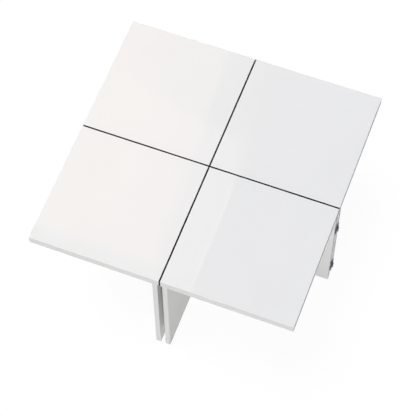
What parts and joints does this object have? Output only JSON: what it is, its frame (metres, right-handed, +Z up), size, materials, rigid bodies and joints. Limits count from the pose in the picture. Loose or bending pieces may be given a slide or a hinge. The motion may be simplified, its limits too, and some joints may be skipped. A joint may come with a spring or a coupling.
{
  "type": "coffee table",
  "caption": "Low square table of hinged quarter tables: each quarter is a board on an L of panel legs, and the quarters fold out round upright hinges on the leg ends.",
  "frame": {"origin": "on the floor, under the point where the two seams of the top cross", "axes": "+Z up; +X to the right and +Y to the back, along the seams; the free seam is at the front, on -Y"},
  "size_m": [0.8636, 0.8568, 0.45],
  "materials": {
    "white_lacquer": "white high-gloss lacquer on fibreboard",
    "black_edging": "black satin plastic edging",
    "birch_tongue": "bare birch plywood",
    "glide_plastic": "white nylon",
    "hinge_steel": "dark burnished steel, oiled"
  },
  "bodies": {
    "front_right": {"front_right_top": "white_lacquer", "front_right_seam_edging": "black_edging", "front_right_corner_leg": "white_lacquer", "front_right_side_leg": "white_lacquer", "front_right_corner_leg_tongue": "birch_tongue", "front_right_side_leg_tongue": "birch_tongue", "front_right_upright_tongue": "birch_tongue", "front_right_glide_middle": "glide_plastic", "front_right_glide_corner_leg": "glide_plastic", "front_right_glide_side_leg": "glide_plastic", "right_upper_hinge_leaf_front_right": "hinge_steel", "right_lower_hinge_leaf_front_right": "hinge_steel"},
    "back_right": {"back_right_top": "white_lacquer", "back_right_seam_edging": "black_edging", "back_right_corner_leg": "white_lacquer", "back_right_side_leg": "white_lacquer", "back_right_corner_leg_tongue": "birch_tongue", "back_right_side_leg_tongue": "birch_tongue", "back_right_upright_tongue": "birch_tongue", "back_right_glide_middle": "glide_plastic", "back_right_glide_corner_leg": "glide_plastic", "back_right_glide_side_leg": "glide_plastic", "right_upper_hinge_leaf_back_right": "hinge_steel", "right_upper_hinge_pin": "hinge_steel", "right_lower_hinge_leaf_back_right": "hinge_steel", "right_lower_hinge_pin": "hinge_steel", "back_upper_hinge_leaf_back_right": "hinge_steel", "back_lower_hinge_leaf_back_right": "hinge_steel"},
    "back_left": {"back_left_top": "white_lacquer", "back_left_seam_edging": "black_edging", "back_left_corner_leg": "white_lacquer", "back_left_side_leg": "white_lacquer", "back_left_corner_leg_tongue": "birch_tongue", "back_left_side_leg_tongue": "birch_tongue", "back_left_upright_tongue": "birch_tongue", "back_left_glide_middle": "glide_plastic", "back_left_glide_corner_leg": "glide_plastic", "back_left_glide_side_leg": "glide_plastic", "back_upper_hinge_leaf_back_left": "hinge_steel", "back_upper_hinge_pin": "hinge_steel", "back_lower_hinge_leaf_back_left": "hinge_steel", "back_lower_hinge_pin": "hinge_steel", "left_upper_hinge_leaf_back_left": "hinge_steel", "left_lower_hinge_leaf_back_left": "hinge_steel"},
    "front_left": {"front_left_top": "white_lacquer", "front_left_seam_edging": "black_edging", "front_left_corner_leg": "white_lacquer", "front_left_side_leg": "white_lacquer", "front_left_corner_leg_tongue": "birch_tongue", "front_left_side_leg_tongue": "birch_tongue", "front_left_upright_tongue": "birch_tongue", "front_left_glide_middle": "glide_plastic", "front_left_glide_corner_leg": "glide_plastic", "front_left_glide_side_leg": "glide_plastic", "left_upper_hinge_leaf_front_left": "hinge_steel", "left_upper_hinge_pin": "hinge_steel", "left_lower_hinge_leaf_front_left": "hinge_steel", "left_lower_hinge_pin": "hinge_steel"}
  },
  "joints": [
    {"name": "right_hinge", "type": "hinge", "parent": "back_right", "child": "front_right", "pos_m": [0.4284, 0, 0.1945], "axis": [0, 0, 1], "range_deg": [0, 180]},
    {"name": "back_hinge", "type": "hinge", "parent": "back_right", "child": "back_left", "pos_m": [0, 0.4284, 0.1945], "axis": [0, 0, -1], "range_deg": [0, 180]},
    {"name": "left_hinge", "type": "hinge", "parent": "back_left", "child": "front_left", "pos_m": [-0.4284, 0, 0.1945], "axis": [0, 0, -1], "range_deg": [0, 180]}
  ]
}
